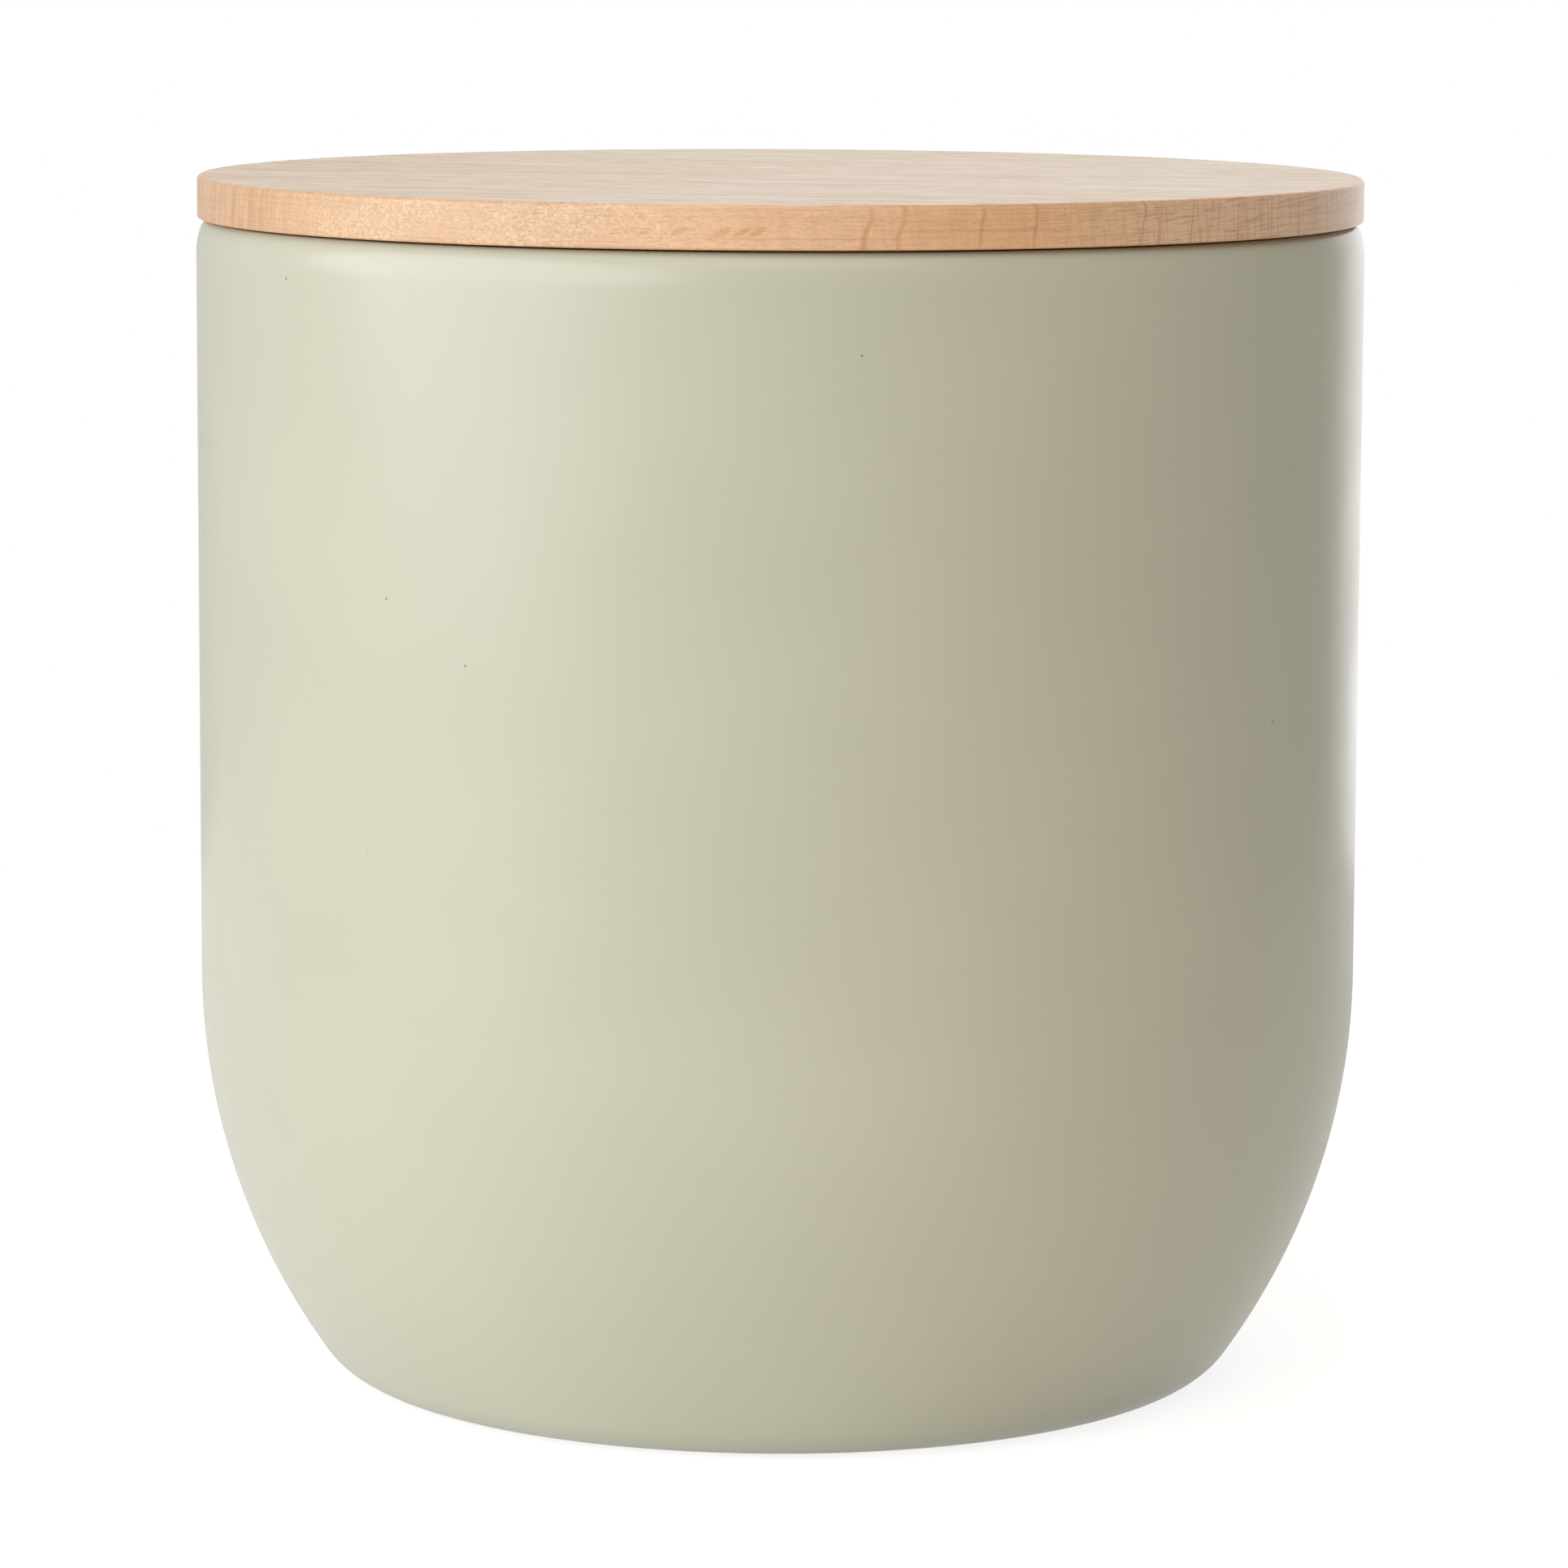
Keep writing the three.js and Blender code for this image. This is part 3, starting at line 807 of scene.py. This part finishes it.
table_mesh = bpy.data.meshes.new("table")
table_corners = TABLE_HALF * np.array([(-1, -1, 0), (1, -1, 0), (1, 1, 0), (-1, 1, 0)])
table_mesh.from_pydata(table_corners.tolist(), [], [(0, 1, 2, 3)])
table_mesh.materials.append(table_finish())
table = bpy.data.objects.new("table", table_mesh)
bpy.context.scene.collection.objects.link(table)
bpy.context.scene.world = pale_room()

lamp_data = bpy.data.lights.new("soft_lamp", "AREA")
lamp_data.shape = "ELLIPSE"
lamp_data.size, lamp_data.size_y = LAMP_SIZE
lamp_data.energy = LAMP_POWER
lamp_data.color = LAMP_COLOUR
lamp = bpy.data.objects.new("soft_lamp", lamp_data)
lamp_turn, lamp_lift = np.radians((LAMP_TURN, LAMP_LIFT))
lamp_level = np.cos(lamp_lift)
toward_lamp = Vector((-np.sin(lamp_turn) * lamp_level, -np.cos(lamp_turn) * lamp_level, np.sin(lamp_lift)))
jar_middle = Vector((0, 0, JAR_HEIGHT / 2))
lamp_aim = (-toward_lamp).to_track_quat("-Z", "Y").to_matrix().to_4x4()
lamp.matrix_world = Matrix.Translation(jar_middle + LAMP_DISTANCE * toward_lamp) @ lamp_aim
bpy.context.scene.collection.objects.link(lamp)

# The camera
# A long lens in front of the jar and a little higher than its lid, tipped down at it and rolled by a hair.

CAMERA_PLACE = (0.00075, -0.8638, 0.1969)
CAMERA_PITCH = 7.935
CAMERA_ROLL = 0.25
CAMERA_LENS = 153.7
CAMERA_SENSOR = 36

camera_data = bpy.data.cameras.new("camera")
camera_data.lens = CAMERA_LENS
camera_data.sensor_width = CAMERA_SENSOR
camera = bpy.data.objects.new("camera", camera_data)
bpy.context.scene.collection.objects.link(camera)
pitch = Matrix.Rotation(np.radians(90 - CAMERA_PITCH), 4, "X")
roll = Matrix.Rotation(np.radians(CAMERA_ROLL), 4, "Z")
camera.matrix_world = Matrix.Translation(CAMERA_PLACE) @ pitch @ roll
bpy.context.scene.camera = camera
bpy.context.scene.view_settings.view_transform = "Standard"
